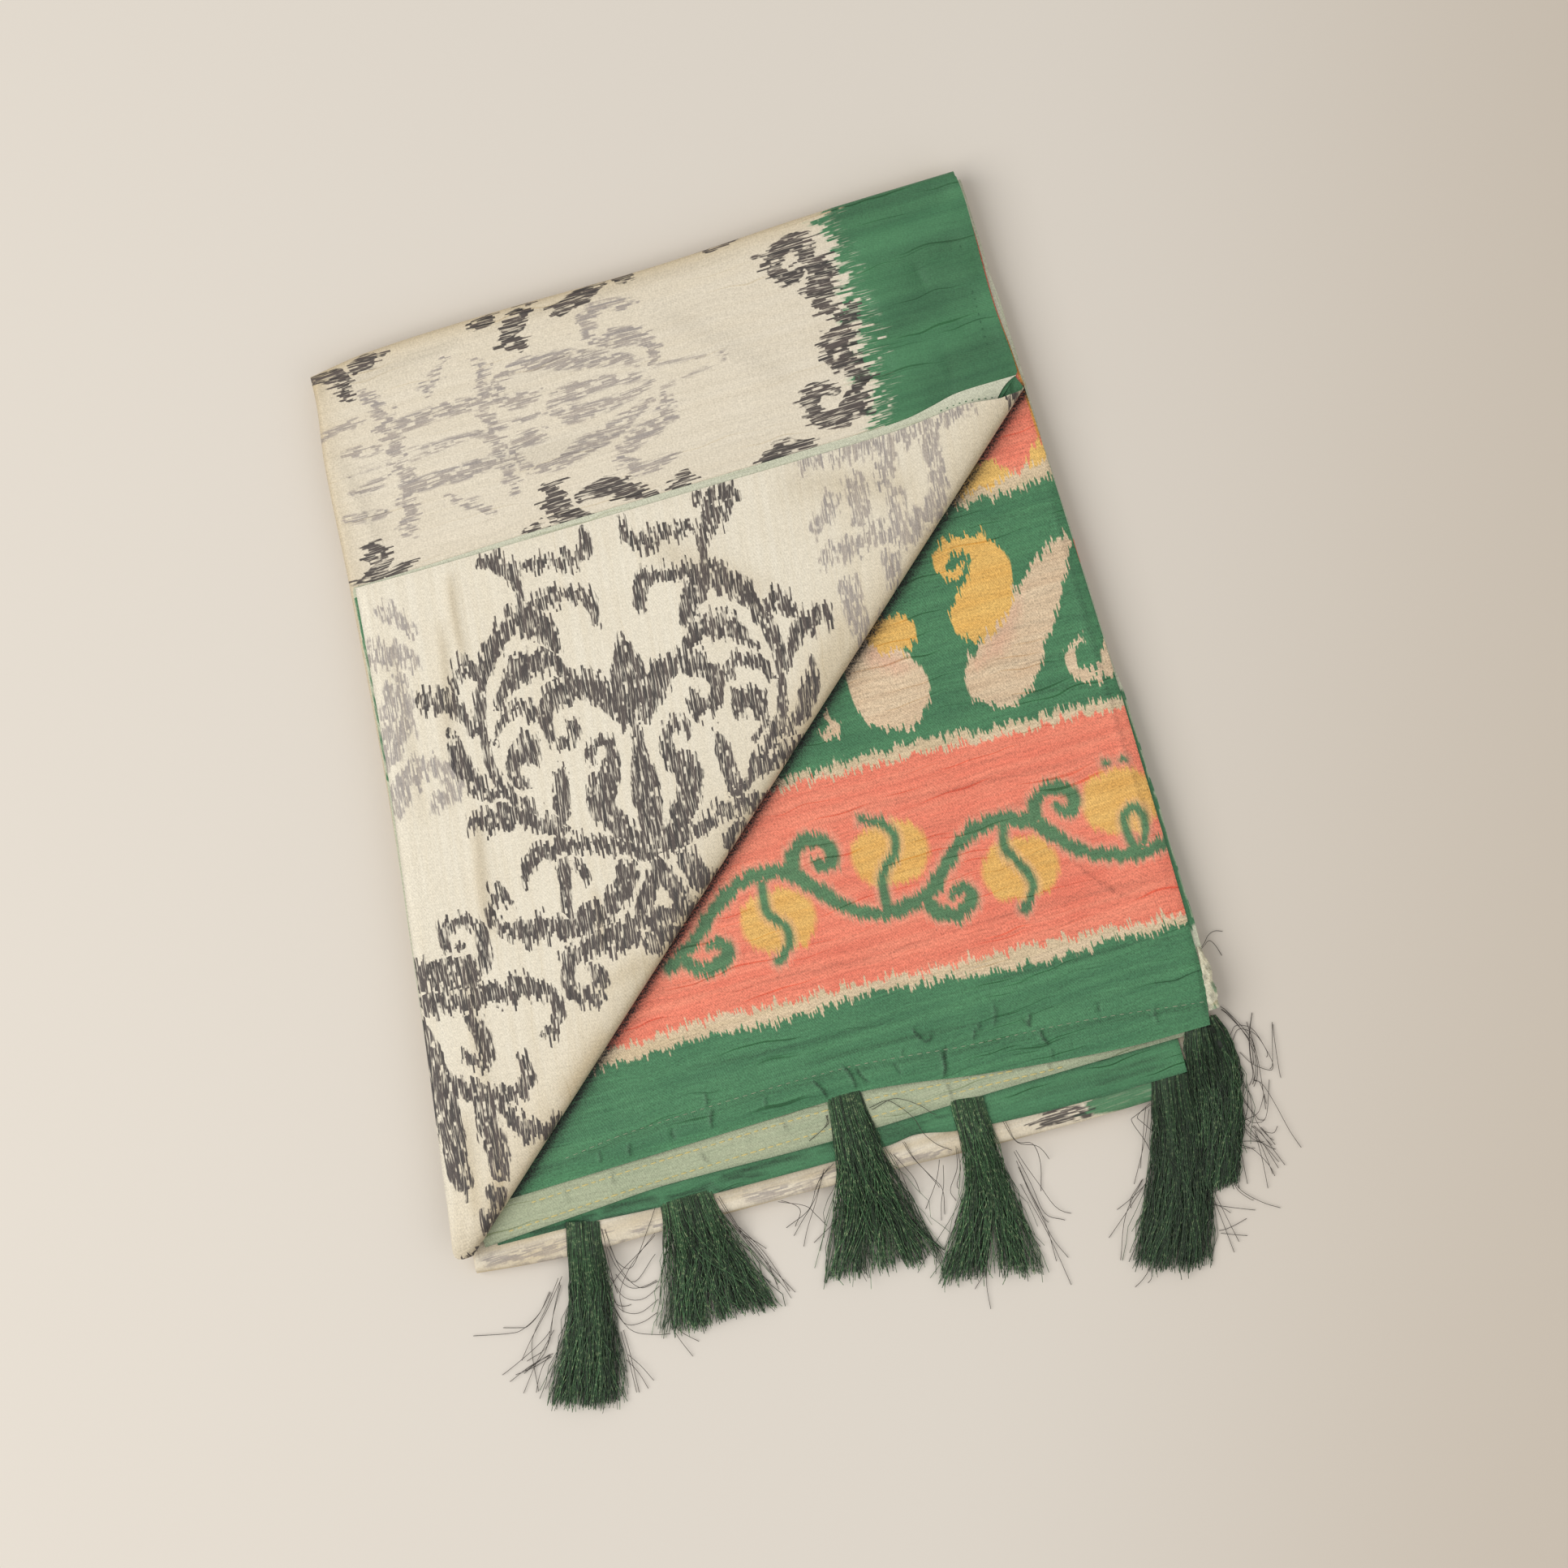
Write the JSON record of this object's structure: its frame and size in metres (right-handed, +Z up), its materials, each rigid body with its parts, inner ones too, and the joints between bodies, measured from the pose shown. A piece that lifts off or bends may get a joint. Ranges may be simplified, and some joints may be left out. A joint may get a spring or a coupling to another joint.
{
  "type": "folded saree",
  "caption": "Printed satin saree folded flat, with a corner turned back over its end panel and thread tassels at the hem; it rests on its flat underside.",
  "frame": {"origin": "on the flat underside, below the middle of the whole with its tassels", "axes": "+X along the hems, +Y away from the tassels, +Z up"},
  "size_m": [0.3238, 0.4506, 0.0193],
  "materials": {
    "stack_cloth": "satin cloth, cream with faded grey print",
    "side_cloth": "satin cloth, yellow, green and pale edge",
    "hem_cloth": "slubbed satin cloth, green",
    "reverse_cloth": "pale green reverse of the print",
    "panel_cloth": "slubbed satin cloth, coral, green and yellow print",
    "selvedge_cloth": "frayed pale selvedge",
    "body_cloth": "satin cloth, cream with dark print and green cross border",
    "flap_cloth": "satin cloth, cream with dark print",
    "thread": "dark green twisted thread"
  },
  "bodies": {
    "root": {"folded_stack": "stack_cloth", "side_ply": "side_cloth", "hem_lower_ply": "hem_cloth", "hem_reverse_ply": "reverse_cloth", "pallu_panel": "panel_cloth", "frayed_selvedge": "selvedge_cloth", "body_layer": "body_cloth", "flap_under_ply": "reverse_cloth", "turned_back_flap": "flap_cloth", "tassel_1": "thread", "tassel_2": "thread", "tassel_3": "thread", "tassel_4": "thread", "tassel_5": "thread", "tassel_6": "thread"}
  },
  "joints": []
}
